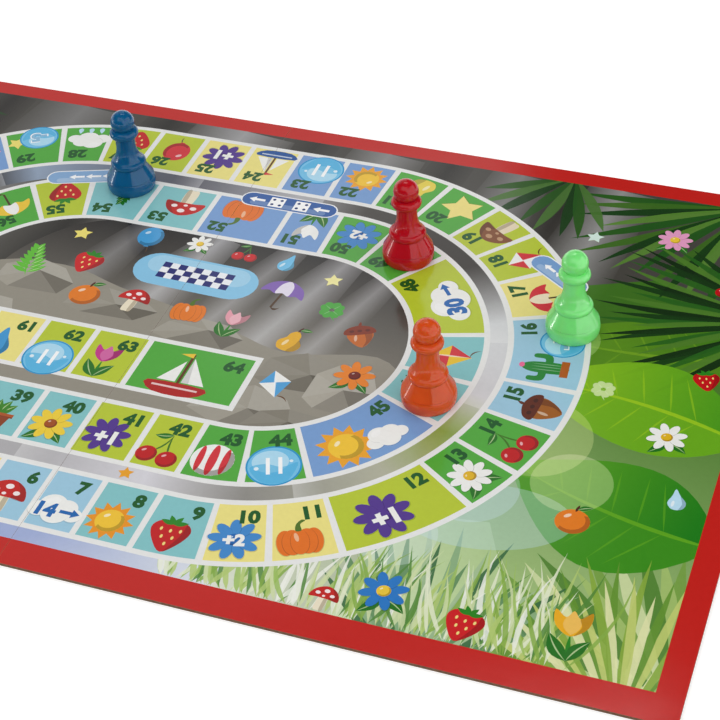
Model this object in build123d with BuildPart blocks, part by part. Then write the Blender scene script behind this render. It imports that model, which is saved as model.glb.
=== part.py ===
"""Folding race-game board of greyboard and paper, with four moulded pawns and two dice."""

import os

from build123d import *

# Board: two equal panels that meet at the fold line x = 0 and lie on z = 0
panel_length = 193.0  # one panel along X, from the fold line to its free end
panel_width = 230.0  # along Y
core_thickness = 0.85  # greyboard
face_thickness = 0.15  # printed and laminated sheet on top
lining_thickness = 0.10  # plain paper underneath, and the hinge tape beside it
corner_radius = 1.2  # die-cut outer corners
seam_gap = 0.30  # width of the cut that makes the fold
tape_leaf_width = 12.0  # hinge tape, from the fold line to its edge

# Pawn, from the board upwards: foot, groove, skirt, bead, stem, collar and head
pawn_diameter = 17.4  # fullest part of the foot
foot_inset = 0.8  # standing ring inside the fullest part
foot_height = 2.6  # up to the fullest part
shoulder_height = 2.2  # from there to the groove
shoulder_inset = 0.35
groove_width = 0.6  # fine groove that parts the foot from the skirt
groove_depth = 0.25
skirt_height = 4.6  # from the groove to the waist
waist_diameter = 11.6
bead_height = 2.3
bead_bulge = 0.4  # beyond the waist
stem_height = 9.2
stem_diameter = 10.6  # at the bead
neck_diameter = 6.9  # under the collar
neck_height = 3.3  # straight part of the stem, under the collar
collar_height = 3.4
collar_diameter = 10.1
head_diameter = 8.4
head_seat_share = 0.81  # radius where the collar meets the head, as a share of the head's
hollow_wall = 1.3  # moulded wall at the standing ring
hollow_roof = 1.5  # between the hollow and the waist
hollow_top_inset = 2.0  # inside the waist

# Where the pawns and dice stand, as shares of the panel's length and width
pawn_blue_shares = (-0.216, 0.279)
pawn_red_shares = (0.346, 0.223)
pawn_orange_shares = (0.495, -0.066)
pawn_green_shares = (0.6685, 0.126)
die_one_shares = (-0.777, -0.130)
die_two_shares = (-0.612, -0.270)

# Dice
die_size = 12.0
die_edge_radius = 1.3
pip_diameter = 2.2
pip_depth = 0.5
pip_pitch = 3.1  # between the middles of neighbouring pips
die_one_turn = 24.0  # degrees about Z
die_two_turn = -38.0

overrun = 1.0  # how far a cutting solid reaches past the face that it cuts

core_base = lining_thickness
face_base = core_base + core_thickness
board_top = face_base + face_thickness

os.makedirs("parts", exist_ok=True)

# Right-hand panel's outline, rounded at its two free corners
with BuildSketch() as panel_outline:
    with Locations((seam_gap / 2, 0)):
        Rectangle(panel_length - seam_gap / 2, panel_width, align=(Align.MIN, Align.CENTER))
    fillet(panel_outline.vertices().group_by(Axis.X)[-1], corner_radius)

# The tape covers the panel next to the fold, and the lining covers the rest
with BuildSketch() as tape_outline:
    with Locations((seam_gap / 2, 0)):
        Rectangle(tape_leaf_width - seam_gap / 2, panel_width, align=(Align.MIN, Align.CENTER))

with BuildSketch() as lining_outline:
    add(panel_outline.sketch)
    add(tape_outline.sketch, mode=Mode.SUBTRACT)

# Greyboard panels
with BuildPart() as core_right:
    with BuildSketch(Plane.XY.offset(core_base)):
        add(panel_outline.sketch)
    extrude(amount=core_thickness)

with BuildPart() as core_left:
    mirror(core_right.part, about=Plane.YZ)

# Printed face sheets
with BuildPart() as face_right:
    with BuildSketch(Plane.XY.offset(face_base)):
        add(panel_outline.sketch)
    extrude(amount=face_thickness)

with BuildPart() as face_left:
    mirror(face_right.part, about=Plane.YZ)

# Lining sheets, flush with the tape so that the board lies flat
with BuildPart() as lining_right:
    with BuildSketch():
        add(lining_outline.sketch)
    extrude(amount=lining_thickness)

with BuildPart() as lining_left:
    mirror(lining_right.part, about=Plane.YZ)

# The two leaves of the hinge tape
with BuildPart() as hinge_leaf_right:
    with BuildSketch():
        add(tape_outline.sketch)
    extrude(amount=lining_thickness)

with BuildPart() as hinge_leaf_left:
    mirror(hinge_leaf_right.part, about=Plane.YZ)

# Radii and levels of the pawn, worked out from its sizes
full_radius = pawn_diameter / 2
foot_radius = full_radius - foot_inset
shoulder_radius = full_radius - shoulder_inset
waist_radius = waist_diameter / 2
collar_radius = collar_diameter / 2
neck_radius = neck_diameter / 2
head_radius = head_diameter / 2
head_seat_radius = head_radius * head_seat_share
hollow_radius = foot_radius - hollow_wall
hollow_top_radius = waist_radius - hollow_top_inset

groove_level = foot_height + shoulder_height
waist_level = groove_level + skirt_height
hollow_level = waist_level - hollow_roof
bead_level = waist_level + bead_height
neck_level = bead_level + stem_height
collar_level = neck_level + collar_height / 2
head_seat_level = neck_level + collar_height
head_level = head_seat_level + (head_radius**2 - head_seat_radius**2) ** 0.5
crown_level = head_level + head_radius

# Pawn's half outline: up the outside to the crown, then down the axis and the hollow
with BuildSketch(Plane.XZ) as pawn_profile:
    with BuildLine():
        foot = EllipticalCenterArc(
            (foot_radius, foot_height), foot_inset, foot_height, start_angle=-90, arc_size=90
        )
        shoulder = TangentArc(
            foot @ 1, (shoulder_radius, groove_level - groove_width / 2), tangent=(0, 1)
        )
        Line(shoulder @ 1, (shoulder_radius - groove_depth, groove_level))
        rise = Line(
            (shoulder_radius - groove_depth, groove_level),
            (shoulder_radius, groove_level + groove_width / 2),
        )
        Line(rise @ 1, (waist_radius, waist_level))
        ThreePointArc(
            (waist_radius, waist_level),
            (waist_radius + bead_bulge, waist_level + bead_height / 2),
            (stem_diameter / 2, bead_level),
        )
        neck = Line((neck_radius, neck_level), (neck_radius, neck_level - neck_height))
        TangentArc(neck @ 1, (stem_diameter / 2, bead_level), tangent=neck % 1)
        EllipticalCenterArc(
            (neck_radius, collar_level),
            collar_radius - neck_radius,
            collar_height / 2,
            start_angle=-90,
            arc_size=90,
        )
        EllipticalCenterArc(
            (head_seat_radius, collar_level),
            collar_radius - head_seat_radius,
            collar_height / 2,
            start_angle=0,
            arc_size=90,
        )
        ThreePointArc(
            (head_seat_radius, head_seat_level), (head_radius, head_level), (0, crown_level)
        )
        Polyline(
            (0, crown_level),
            (0, hollow_level),
            (hollow_top_radius, hollow_level),
            (hollow_radius, 0),
            (foot_radius, 0),
        )
    make_face()

with BuildPart() as pawn:
    add(pawn_profile.sketch)
    revolve(axis=Axis.Z)


def place(shares):
    """Point on top of the board, from shares of the panel's length and width."""
    return (shares[0] * panel_length, shares[1] * panel_width, board_top)


with BuildPart() as pawn_blue:
    with Locations(place(pawn_blue_shares)):
        add(pawn.part)

with BuildPart() as pawn_red:
    with Locations(place(pawn_red_shares)):
        add(pawn.part)

with BuildPart() as pawn_orange:
    with Locations(place(pawn_orange_shares)):
        add(pawn.part)

with BuildPart() as pawn_green:
    with Locations(place(pawn_green_shares)):
        add(pawn.part)

# Pips of each throw on a grid of one pitch
pips_of_two = [(-1, -1), (1, 1)]
pips_of_four = pips_of_two + [(-1, 1), (1, -1)]
pips_of_six = pips_of_four + [(0, -1), (0, 1)]

# Opposite faces of the die add up to seven
half_die = die_size / 2
die_faces = [
    (Plane((0, 0, half_die), x_dir=(1, 0, 0), z_dir=(0, 0, 1)), [(0, 0)] + pips_of_four),
    (Plane((0, 0, -half_die), x_dir=(1, 0, 0), z_dir=(0, 0, -1)), pips_of_two),
    (Plane((half_die, 0, 0), x_dir=(0, 1, 0), z_dir=(1, 0, 0)), pips_of_six),
    (Plane((-half_die, 0, 0), x_dir=(0, 1, 0), z_dir=(-1, 0, 0)), [(0, 0)]),
    (Plane((0, half_die, 0), x_dir=(1, 0, 0), z_dir=(0, 1, 0)), [(0, 0)] + pips_of_two),
    (Plane((0, -half_die, 0), x_dir=(1, 0, 0), z_dir=(0, -1, 0)), pips_of_four),
]

with BuildPart() as die:
    Box(die_size, die_size, die_size)
    fillet(die.edges(), die_edge_radius)
    # Each pip is a cone sunk by a drill point
    for face, pips in die_faces:
        with Locations(face):
            with Locations([(u * pip_pitch, v * pip_pitch, -pip_depth) for u, v in pips]):
                Cone(
                    0,
                    pip_diameter / 2 * (pip_depth + overrun) / pip_depth,
                    pip_depth + overrun,
                    align=(Align.CENTER, Align.CENTER, Align.MIN),
                    mode=Mode.SUBTRACT,
                )

with BuildPart() as die_one:
    with Locations(Location(place(die_one_shares), (0, 0, die_one_turn))):
        with Locations((0, 0, half_die)):
            add(die.part)

with BuildPart() as die_two:
    with Locations(Location(place(die_two_shares), (0, 0, die_two_turn))):
        with Locations((0, 0, half_die)):
            add(die.part)

pieces = {
    "core_right": core_right,
    "core_left": core_left,
    "face_right": face_right,
    "face_left": face_left,
    "lining_right": lining_right,
    "lining_left": lining_left,
    "hinge_leaf_right": hinge_leaf_right,
    "hinge_leaf_left": hinge_leaf_left,
    "pawn_blue": pawn_blue,
    "pawn_red": pawn_red,
    "pawn_orange": pawn_orange,
    "pawn_green": pawn_green,
    "die_one": die_one,
    "die_two": die_two,
}
for label, piece in pieces.items():
    piece.part.label = label
    export_step(piece.part, f"parts/{label}.step")
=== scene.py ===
# %% [markdown]
# # A folding race game: printed board, four pawns and two dice
#
# The imported CAD model is the skeleton of this scene. Every piece made here sits in the same frame, in
# metres, and the printed sheets, pawns and pip paint ride on CAD bodies, so the board can fold and the
# pawns can be picked up.

# %% Load the imported model
import bisect
import math
import random

import bmesh
import bpy
from mathutils import Matrix, Vector
from mathutils.geometry import delaunay_2d_cdt


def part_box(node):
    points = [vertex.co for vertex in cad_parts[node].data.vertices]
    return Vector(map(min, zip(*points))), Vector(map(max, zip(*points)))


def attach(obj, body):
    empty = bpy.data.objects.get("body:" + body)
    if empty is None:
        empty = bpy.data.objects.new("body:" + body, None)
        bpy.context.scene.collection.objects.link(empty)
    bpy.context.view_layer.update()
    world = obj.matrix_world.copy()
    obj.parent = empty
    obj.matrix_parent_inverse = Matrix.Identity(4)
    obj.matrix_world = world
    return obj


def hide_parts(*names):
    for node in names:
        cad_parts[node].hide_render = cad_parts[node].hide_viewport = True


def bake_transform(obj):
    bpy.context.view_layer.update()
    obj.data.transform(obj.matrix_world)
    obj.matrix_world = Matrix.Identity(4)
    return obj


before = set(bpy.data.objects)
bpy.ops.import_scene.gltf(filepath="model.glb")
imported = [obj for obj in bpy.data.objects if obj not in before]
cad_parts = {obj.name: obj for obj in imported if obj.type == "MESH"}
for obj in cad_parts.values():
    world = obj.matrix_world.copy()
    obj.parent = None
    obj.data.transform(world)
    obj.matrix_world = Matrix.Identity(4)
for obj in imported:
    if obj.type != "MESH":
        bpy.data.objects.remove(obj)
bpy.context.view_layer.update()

MM = 0.001
scene = bpy.context.scene
scene.view_settings.view_transform = "Standard"
print("nodes:", ", ".join(sorted(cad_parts)))

# %% [markdown]
# ## The camera
#
# A product photograph of a board game is taken from a seated player's eye, here 40 degrees above the board
# with a short telephoto lens. The camera is built from its three axes, because a small roll is easiest to
# add there.

# %% Camera
turn, rise, roll = (math.radians(a) for a in (21.954, 40.266, -3.609))
aim = Vector((69.1, -3.729, 1.1)) * MM
away = 560.611 * MM
lens_length = 89.46
to_eye = Vector((math.sin(turn) * math.cos(rise), -math.cos(turn) * math.cos(rise), math.sin(rise)))
level_right = Vector((math.cos(turn), math.sin(turn), 0.0))
level_up = to_eye.cross(level_right)
camera_right = level_right * math.cos(roll) + level_up * math.sin(roll)
camera_up = level_up * math.cos(roll) - level_right * math.sin(roll)
camera = bpy.data.objects.new("camera", bpy.data.cameras.new("camera"))
camera.data.lens = lens_length
camera.data.sensor_width = 36.0
camera.data.clip_start = 0.02
camera.matrix_world = Matrix.Translation(aim + to_eye * away) @ Matrix(
    (camera_right, camera_up, to_eye)).transposed().to_4x4()
scene.collection.objects.link(camera)
scene.camera = camera
print("camera at", [round(v / MM) for v in camera.matrix_world.translation], "mm")

# %% [markdown]
# ## Colours and nodes
#
# Colours are written as sRGB hex codes, the way a printer's proof gives them, and turned to the linear
# numbers that Cycles works with. One small function adds any shader node: plain values are set on its
# sockets, and another node is linked by its first output, or by the output that is named.

# %% Helpers for materials
def srgb(code):
    return [int(code[i:i + 2], 16) / 255 for i in (1, 3, 5)]


def linear(rgb):
    return [c / 12.92 if c <= 0.04045 else ((c + 0.055) / 1.055) ** 2.4 for c in rgb] + [1.0]


def colour_of(code, share=1.0):
    return linear([share * c for c in srgb(code)])


def wire(made, inputs):
    for name, value in inputs.items():
        if isinstance(value, bpy.types.Node):
            value = value.outputs[0]
        if isinstance(value, bpy.types.NodeSocket):
            made.id_data.links.new(value, made.inputs[name])
        else:
            made.inputs[name].default_value = value


def node(tree, kind, inputs=None, stops=(), **settings):
    """Adds a node; stops are the places and colours of a colour ramp, its two ends first."""
    made = tree.nodes.new("ShaderNode" + kind)
    for name, value in settings.items():
        setattr(made, name, value)
    for k, (position, code) in enumerate(stops):
        stop = made.color_ramp.elements[k] if k < 2 else made.color_ramp.elements.new(position)
        stop.position = position
        stop.color = colour_of(code) if isinstance(code, str) else code
    wire(made, inputs or {})
    return made


def new_material(name):
    """A material, its tree, its shader, and the object's own coordinates, in metres."""
    material = bpy.data.materials.new(name)
    material.use_nodes = True
    tree = material.node_tree
    return material, tree, tree.nodes["Principled BSDF"], node(tree, "TexCoord").outputs["Object"]


# %% Helpers for pieces
def add_piece(name, bm, material):
    mesh = bpy.data.meshes.new(name)
    bm.to_mesh(mesh)
    bm.free()
    mesh.materials.append(material)
    piece = bpy.data.objects.new(name, mesh)
    scene.collection.objects.link(piece)
    return piece


def dress(name, material):
    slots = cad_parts[name].data.materials
    slots.clear()
    slots.append(material)


def to_metres(bm):
    bmesh.ops.scale(bm, verts=bm.verts, vec=(MM, MM, MM))


# %% [markdown]
# ## The studio
#
# The board lies on white seamless paper that rises behind it, so the camera sees white all round, and gloss
# sees it low down behind the board, on the left. Above that is a dim room, or the whole print would look
# milky. Matt surfaces are lit evenly, at a level where colours come out about as they are written. The
# lamps give the gloss its shape: a wall of light that begins just right of the camera, a narrow strip far
# out on the left, and behind the board a pale wall with a window, which the laminate mirrors and the pawns
# block. Two boxes above and a fill on the left only light.

# %% Floor
paper, tree, shader, place = new_material("seamless_paper")
path = node(tree, "LightPath").outputs
distance = node(tree, "VectorMath", {0: place}, operation="LENGTH").outputs["Value"]
# Past the lamps, a metre out, the paper itself has to be as white as it is near the board
whiteness = node(tree, "MapRange", {"Value": distance, "From Min": 0.5, "From Max": 1.1, "To Min": 0.30})
looked = node(tree, "Math", {0: path["Is Camera Ray"], 1: path["Is Glossy Ray"]}, operation="MAXIMUM")
looked = node(tree, "Math", {0: looked, 1: path["Is Transmission Ray"]}, operation="MAXIMUM")
glow = node(tree, "Math", {0: looked, 1: whiteness}, operation="MULTIPLY")
wire(shader, {"Base Color": colour_of("#F6F6F5"), "Roughness": 0.9, "Specular IOR Level": 0.1,
              "Emission Color": (1, 1, 1, 1), "Emission Strength": glow})
floor_half, floor_drop = 3.0, 0.02 * MM
bm = bmesh.new()
bmesh.ops.create_grid(bm, x_segments=2, y_segments=2, size=floor_half)
bmesh.ops.translate(bm, verts=bm.verts, vec=(0, 0, -floor_drop))
floor = add_piece("floor", bm, paper)
print("floor", 2 * floor_half, "m wide")

# %% Room
scene.world = bpy.data.worlds.new("studio")
scene.world.use_nodes = True
tree = scene.world.node_tree
path = node(tree, "LightPath").outputs
seen = node(tree, "Math", {0: path["Is Camera Ray"], 1: path["Is Transmission Ray"]}, operation="MAXIMUM")
way = node(tree, "TexCoord").outputs["Generated"]
height = node(tree, "SeparateXYZ", {0: way}).outputs["Z"]
low = node(tree, "MapRange", {"Value": height, "From Min": 0.40, "From Max": 0.20})
side = node(tree, "VectorMath", {0: way, 1: (-0.77, 0.64, 0.0)}, operation="DOT_PRODUCT")
behind = node(tree, "MapRange", {"Value": side.outputs["Value"], "From Min": 0.25, "From Max": 0.65})
rising = node(tree, "Math", {0: low, 1: behind}, operation="MULTIPLY")
mirrored = node(tree, "MapRange", {"Value": rising, "To Min": 0.05, "To Max": 1.0})
room = node(tree, "MapRange", {"Value": path["Is Glossy Ray"], "To Min": 0.46, "To Max": mirrored})
strength = node(tree, "Math", {0: seen, 1: room}, operation="MAXIMUM")
wire(tree.nodes["Background"], {"Color": (1, 1, 1, 1), "Strength": strength})
print("room:", len(tree.nodes), "nodes")


# %% Lamps
def panel(name, place, look_at, width, height, power, in_gloss=True):
    lamp = bpy.data.lights.new(name, "AREA")
    lamp.shape = "RECTANGLE"
    lamp.size, lamp.size_y, lamp.energy = width, height, power
    lamp_object = bpy.data.objects.new(name, lamp)
    lamp_object.location = place
    lamp_object.rotation_euler = (Vector(look_at) - Vector(place)).to_track_quat("-Z", "Y").to_euler()
    lamp_object.visible_glossy = in_gloss
    scene.collection.objects.link(lamp_object)


panel("right_wall", (1.21, -0.20, 0.62), (0.07, 0.0, 0.02), 2.6, 1.23, 10.4)
panel("left_strip", (-0.76, -0.13, 0.055), (0.07, 0.0, 0.02), 0.07, 0.10, 0.24)
panel("back_wall", (-0.79, 1.00, 0.82), (0.0, 0.0, 0.0), 1.3, 1.1, 1.9)
panel("back_window", (-0.34, 1.02, 0.80), (0.07, 0.0, 0.0), 0.34, 0.22, 0.12)
panel("front_box", (0.05, -0.75, 1.15), (0.05, -0.05, 0.0), 1.4, 0.9, 3.2)
panel("left_fill", (-0.80, -0.45, 0.42), (0.0, 0.0, 0.0), 1.2, 0.8, 2.4, in_gloss=False)
panel("back_box", (-0.12, 0.50, 1.02), (0.07, 0.0, 0.0), 0.5, 0.2, 0.8)

# %% [markdown]
# ## Greyboard, lining and hinge tape
#
# The stiff core of a game board is greyboard, pressed from recycled paper. Only its cut edges show. They
# are a greyish brown, with pale and dark fibres lying flat, so the fleck pattern is stretched along the
# board. The CAD cores keep their shape and only get this material. A plain wood-free lining paper covers
# the underside.

# %% Greyboard and lining paper
greyboard, tree, shader, place = new_material("pressed_greyboard")
flat = node(tree, "Mapping", {"Vector": place, "Scale": (1.0, 1.0, 7.0)})
# Fibre bundles about 0.8 mm long and a seventh as thick
fibre = node(tree, "TexNoise", {"Vector": flat, "Scale": 1 / (0.8 * MM), "Detail": 4.0, "Roughness": 0.7})
fibre_tone = node(tree, "ValToRGB", {"Fac": fibre},
                  stops=((0.30, "#4A3526"), (0.72, "#A28468"), (0.5, "#6E4F3A")))
rough_cut = node(tree, "Bump", {"Height": fibre, "Strength": 0.5, "Distance": 0.05 * MM})
wire(shader, {"Base Color": fibre_tone, "Roughness": 0.92, "Specular IOR Level": 0.25, "Normal": rough_cut})

lining, tree, shader, place = new_material("woodfree_lining_paper")
# Cloudy formation, as paper has against the light: flocks about 4 mm wide
cloudy = node(tree, "TexNoise", {"Vector": place, "Scale": 1 / (4 * MM), "Detail": 5.0, "Roughness": 0.6})
sheet_tone = node(tree, "ValToRGB", {"Fac": cloudy}, stops=((0.35, "#DEDBD4"), (0.65, "#EAE8E2")))
# Tooth of uncoated paper, drawn at 0.5 mm so that it shows
tooth = node(tree, "TexNoise", {"Vector": place, "Scale": 1 / (0.5 * MM), "Detail": 3.0})
felt = node(tree, "Bump", {"Height": tooth, "Strength": 0.25, "Distance": 0.02 * MM})
wire(shader, {"Base Color": sheet_tone, "Roughness": 0.78, "Normal": felt})
for side in ("left", "right"):
    dress("core_" + side, greyboard)
    dress("lining_" + side, lining)
print("greyboard and lining on four CAD nodes")

# %% [markdown]
# Under the fold a strip of kraft-backed bookbinding tape joins the two halves.

# %% Hinge tape
binding_tape, tree, shader, place = new_material("bookbinding_tape")
# Linen-finish emboss, real pitch 0.35 mm, drawn at 0.7 mm so that it shows
wave_pitch = 0.314  # metres from band to band of a wave texture at scale 1
thread = node(tree, "TexWave", {"Vector": place, "Scale": wave_pitch / (0.7 * MM), "Distortion": 1.0},
              bands_direction="Y")
linen = node(tree, "ValToRGB", {"Fac": thread.outputs["Fac"]}, stops=((0.0, "#D8D4CB"), (1.0, "#E6E3DB")))
emboss = node(tree, "Bump", {"Height": thread.outputs["Fac"], "Strength": 0.4, "Distance": 0.02 * MM})
wire(shader, {"Base Color": linen, "Roughness": 0.6, "Normal": emboss})

tape_low, tape_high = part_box("hinge_leaf_left")[0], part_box("hinge_leaf_right")[1]
bm = bmesh.new()
bmesh.ops.create_cube(bm, size=1.0)
bmesh.ops.scale(bm, verts=bm.verts, vec=tape_high - tape_low)
bmesh.ops.translate(bm, verts=bm.verts, vec=(tape_low + tape_high) / 2)
for cut in [s * d for d in (0.15, 0.4, 0.8, 1.6, 4.0) for s in (-1, 1)] + [0.0]:
    bmesh.ops.bisect_plane(bm, geom=bm.verts[:] + bm.edges[:] + bm.faces[:], plane_co=(cut * MM, 0, 0),
                           plane_no=(1, 0, 0))
tape = add_piece("hinge_tape", bm, binding_tape)
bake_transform(tape)
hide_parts("hinge_leaf_left", "hinge_leaf_right")
print("hinge tape", [round(v / MM, 2) for v in tape_high - tape_low], "mm")

# %% [markdown]
# ## The print: how it is drawn
#
# The face of the board is one sheet of offset-printed paper with a gloss laminate. Its picture is drawn
# here like a screen print: flat outlines, in millimetres on the board, are laid one over the other, each
# with a colour and an opacity. When all are laid, Blender's constrained Delaunay triangulation cuts them
# into one flat sheet in which no two faces overlap, and each corner gets the colour that the stack of inks
# has there. That keeps edges sharp at any zoom and needs no picture file.
#
# An ink is a hex colour with an opacity, or two of them with the points between which one fades to the
# other.

# %% Ink and outlines
board_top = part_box("face_right")[1].z / MM
films = []
least_film = 0.003  # square millimetres
white, shadow = "#FFFFFF", "#1B0F0A"


def area_of(outline):
    return sum(a[0] * b[1] - b[0] * a[1] for a, b in zip(outline, outline[1:] + outline[:1])) / 2


def lay(outline, code, opacity=1.0, far_code=None, far_opacity=0.0, start=(0, 0), end=(1, 0)):
    """Adds a film, wound anticlockwise, with its ink; slivers too thin to print are left out."""
    area = area_of(outline)
    if abs(area) > least_film:
        dx, dy = end[0] - start[0], end[1] - start[1]
        span = dx * dx + dy * dy
        fade = (far_code and srgb(far_code), far_opacity, *start, dx / span, dy / span)
        films.append((outline if area > 0 else outline[::-1], srgb(code), opacity, fade))


def ray(degrees, reach=1.0):
    return reach * math.cos(math.radians(degrees)), reach * math.sin(math.radians(degrees))


def moved(outline, x, y, tilt, size=1.0):
    c, s = ray(tilt, size)
    return [(x + u * c - v * s, y + u * s + v * c) for u, v in outline]


def both(*half):
    """A symmetrical outline, from the points of its right half."""
    return list(half) + [(-u, v) for u, v in reversed(half) if u]


# %% Simple outlines
def box(x0, y0, x1, y1):
    return [(x0, y0), (x1, y0), (x1, y1), (x0, y1)]


def oval(x, y, rx, ry=None, tilt=0.0, count=24):
    rim = [ray(360 * k / count) for k in range(count)]
    return moved([(rx * u, (ry or rx) * v) for u, v in rim], x, y, tilt)


def star(x, y, reach, spikes, depth):
    rim = [ray(90 + 180 * k / spikes, depth if k % 2 else 1) for k in range(2 * spikes)]
    return moved(rim, x, y, 0, reach)


def pill(x0, x1, y, half, count=8):
    cap = [ray(180 * k / count - 90, half) for k in range(count + 1)]
    return [(x1 + u, y + v) for u, v in cap] + [(x0 - u, y - v) for u, v in cap]


def soft(*points, fine=4):
    """A closed, smooth outline through a few points."""
    rim = []
    for k in range(len(points)):
        corner = [points[(k + i) % len(points)] for i in (-1, 0, 1, 2)]
        for t in (i / fine for i in range(fine)):
            rim.append(tuple(b + 0.5 * t * (c - a + t * (2 * a - 5 * b + 4 * c - d
                                                         + t * (3 * (b - c) + d - a)))
                             for a, b, c, d in zip(*corner)))
    return rim


def blade(x, y, tip_x, tip_y, width, bend=0.0, count=7, belly=0.45):
    """A leaf from its stalk to its tip; bend bows it to the left."""
    dx, dy = tip_x - x, tip_y - y
    n = math.hypot(dx, dy)
    left, right = [], []
    for t in (k / count for k in range(count + 1)):
        bow = bend * 4 * t * (1 - t)
        half = 0.5 * width * math.sin(math.pi * t ** (math.log(0.5) / math.log(belly))) / n
        cx, cy = x + dx * t - dy * bow, y + dy * t + dx * bow
        left.append((cx - dy * half, cy + dx * half))
        right.append((cx + dy * half, cy - dx * half))
    return left + right[-2:0:-1]


# %% The bare sheet
panel_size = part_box("face_right")[1] / MM
seam = 0.04  # half of what shows of the cut when the board lies flat
corner = 1.2
red = "#C83A2F"
quarter = [ray(15 * k, corner) for k in range(7)]
half_end = [(panel_size.x - corner + u, panel_size.y - corner + v) for u, v in quarter]
half_end.append((seam, panel_size.y))
for side in (1, -1):
    lay([(side * x, -y) for x, y in reversed(half_end)] + [(side * x, y) for x, y in half_end], red)
print("board", panel_size.x * 2, "x", panel_size.y * 2, "mm, print at", round(board_top, 3), "mm")

# %% [markdown]
# ## The race track
#
# The track is the traditional spiral of numbered squares, two laps and a home straight between rounded
# ends. Its centre line is made of straights and bends, sampled about every millimetre. `spot` then finds
# the place at any distance along the line and to its left, which is all that is needed to cut it into
# squares.

# %% Centre line
def straight(x0, x1, y):
    count = round(abs(x1 - x0))
    return [(x0 + (x1 - x0) * k / count, y) for k in range(count)]


def bend(x, rx, ry, first, last):
    count = round(math.radians(last - first) * (rx + ry) / 2)
    rim = (ray(first + (last - first) * k / count) for k in range(count))
    return [(x + rx * u, ry * v) for u, v in rim]


outer, inner, home = 87.65, 56.05, 24.5
right_end = 38.5
line = straight(-103.6, right_end, -outer) + bend(right_end, outer, outer, -90, 90)
line += straight(right_end, -45.0, outer) + bend(-45.0, outer, outer, 90, 180)
line += bend(-70.0, 62.65, inner, 180, 270) + straight(-70.0, right_end, -inner)
line += bend(right_end, inner, inner, -90, 90) + straight(right_end, -37.5, inner)
line += bend(-37.5, inner, inner, 90, 180) + bend(-62.0, 31.55, home, 180, 270)
line += straight(-62.0, 45.0, -home)
stretch_step = 2.6
reach = [0.0]
for a, b in zip(line, line[1:]):
    reach.append(reach[-1] + math.dist(a, b))


def heading(s):
    k = min(max(bisect.bisect(reach, s), 2), len(line) - 2)
    a, b = Vector(line[k - 2]), Vector(line[k + 1])
    return (b - a).normalized()


def spot(s, left):
    k = min(max(bisect.bisect(reach, s), 1), len(line) - 1)
    t = (s - reach[k - 1]) / (reach[k] - reach[k - 1])
    p, d = Vector(line[k - 1]).lerp(Vector(line[k]), t), heading(s)
    return (p.x - d.y * left, p.y + d.x * left)


def stretch(s0, s1, low, high):
    """The outline between two distances along the line and two distances to its left."""
    count = max(2, math.ceil((s1 - s0) / stretch_step))
    ticks = [s0 + (s1 - s0) * k / count for k in range(count + 1)]
    return [spot(s, low) for s in ticks] + [spot(s, high) for s in reversed(ticks)]


print("centre line", round(reach[-1]), "mm")

# %% [markdown]
# ## The picture behind the track
#
# Behind the squares lies a misty garden: grey haze with shafts of light at the back, broad leaves and fans
# of long blades on the sides, grass in front. A shaft of light is two long strips whose opacity fades from
# their shared middle to nothing, which gives a blurred edge without any blur. All plants come from two
# outlines, `blade` and `oval`, laid many times with a seeded random draw.

# %% Haze and light
draw = random.Random(11)
edge_left, edge_right, edge_front, edge_back = -185.4, 185.4, -105.6, 107.8
lay(box(edge_left, edge_front, edge_right, edge_back), "#55534F")


def shaft(x0, y0, x1, y1, half0, half1, tone, strength):
    dx, dy = x1 - x0, y1 - y0
    for side in (1 / math.hypot(dx, dy), -1 / math.hypot(dx, dy)):
        near = (x0 - side * half0 * dy, y0 + side * half0 * dx)
        far = (x1 - side * half1 * dy, y1 + side * half1 * dx)
        middle, rim = ((x0 + x1) / 2, (y0 + y1) / 2), ((near[0] + far[0]) / 2, (near[1] + far[1]) / 2)
        lay([(x0, y0), (x1, y1), far, near], tone, strength, tone, 0.0, middle, rim)


for x, half, tone, strength in (
        (-160, 16, "#C9C9CC", 0.50), (-118, 9, "#2E2C2B", 0.60), (-88, 18, "#B9B9BC", 0.45),
        (-52, 10, "#2B2A29", 0.55), (-22, 20, "#D6D6DA", 0.62), (6, 9, "#333130", 0.50),
        (34, 14, "#CFCFD2", 0.50), (58, 8, "#2E2D2C", 0.55), (84, 11, "#BDBDBF", 0.50),
        (104, 8, "#343231", 0.50), (120, 12, "#D0D0D0", 0.55)):
    shaft(x + 7, edge_back, x - 9, -20.0, half, half * 1.5, tone, strength)
print(len(films), "films after the haze")

# %% [markdown]
# A fan is a bundle of narrow blades from one stalk, a broad leaf two halves in different greens with a pale
# rib and side veins, and a tuft of grass a few bowed blades.

# %% Plants
def fan(x, y, first, last, count, length, width, *tones):
    for k in range(count):
        turn = first + (last - first) * (k + draw.uniform(-0.2, 0.2)) / (count - 1)
        u, v = ray(turn, length * draw.uniform(0.8, 1.05))
        bow = draw.uniform(-0.03, 0.03)
        lay(blade(x, y, x + u, y + v, width, bow, belly=0.55), tones[k % len(tones)], 0.92)


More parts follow.
